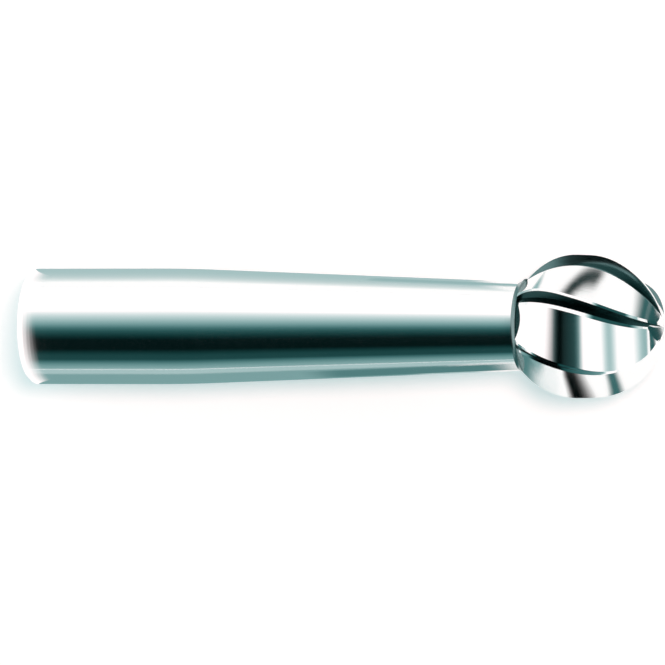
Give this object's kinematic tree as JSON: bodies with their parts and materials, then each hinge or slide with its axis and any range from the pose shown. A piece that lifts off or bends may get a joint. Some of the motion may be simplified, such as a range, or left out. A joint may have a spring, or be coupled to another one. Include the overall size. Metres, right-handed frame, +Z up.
{
  "type": "round carbide burr",
  "caption": "Round carbide burr: a spiral-fluted ball of tungsten carbide brazed to the thin end of a tapered steel shank.",
  "frame": {"origin": "centre of the shank's end face", "axes": "+X along the axis of the shank, from its end face towards the tip; +Z up, at the roll in which two blades of the ball share its weight"},
  "size_m": [0.0133, 0.0028, 0.0026],
  "materials": {
    "shank_steel": "polished",
    "silver_solder": "satin",
    "tungsten_carbide": "ground and polished"
  },
  "bodies": {
    "root": {"shank": "shank_steel", "braze_layer": "silver_solder", "cutting_head": "tungsten_carbide"}
  },
  "joints": []
}
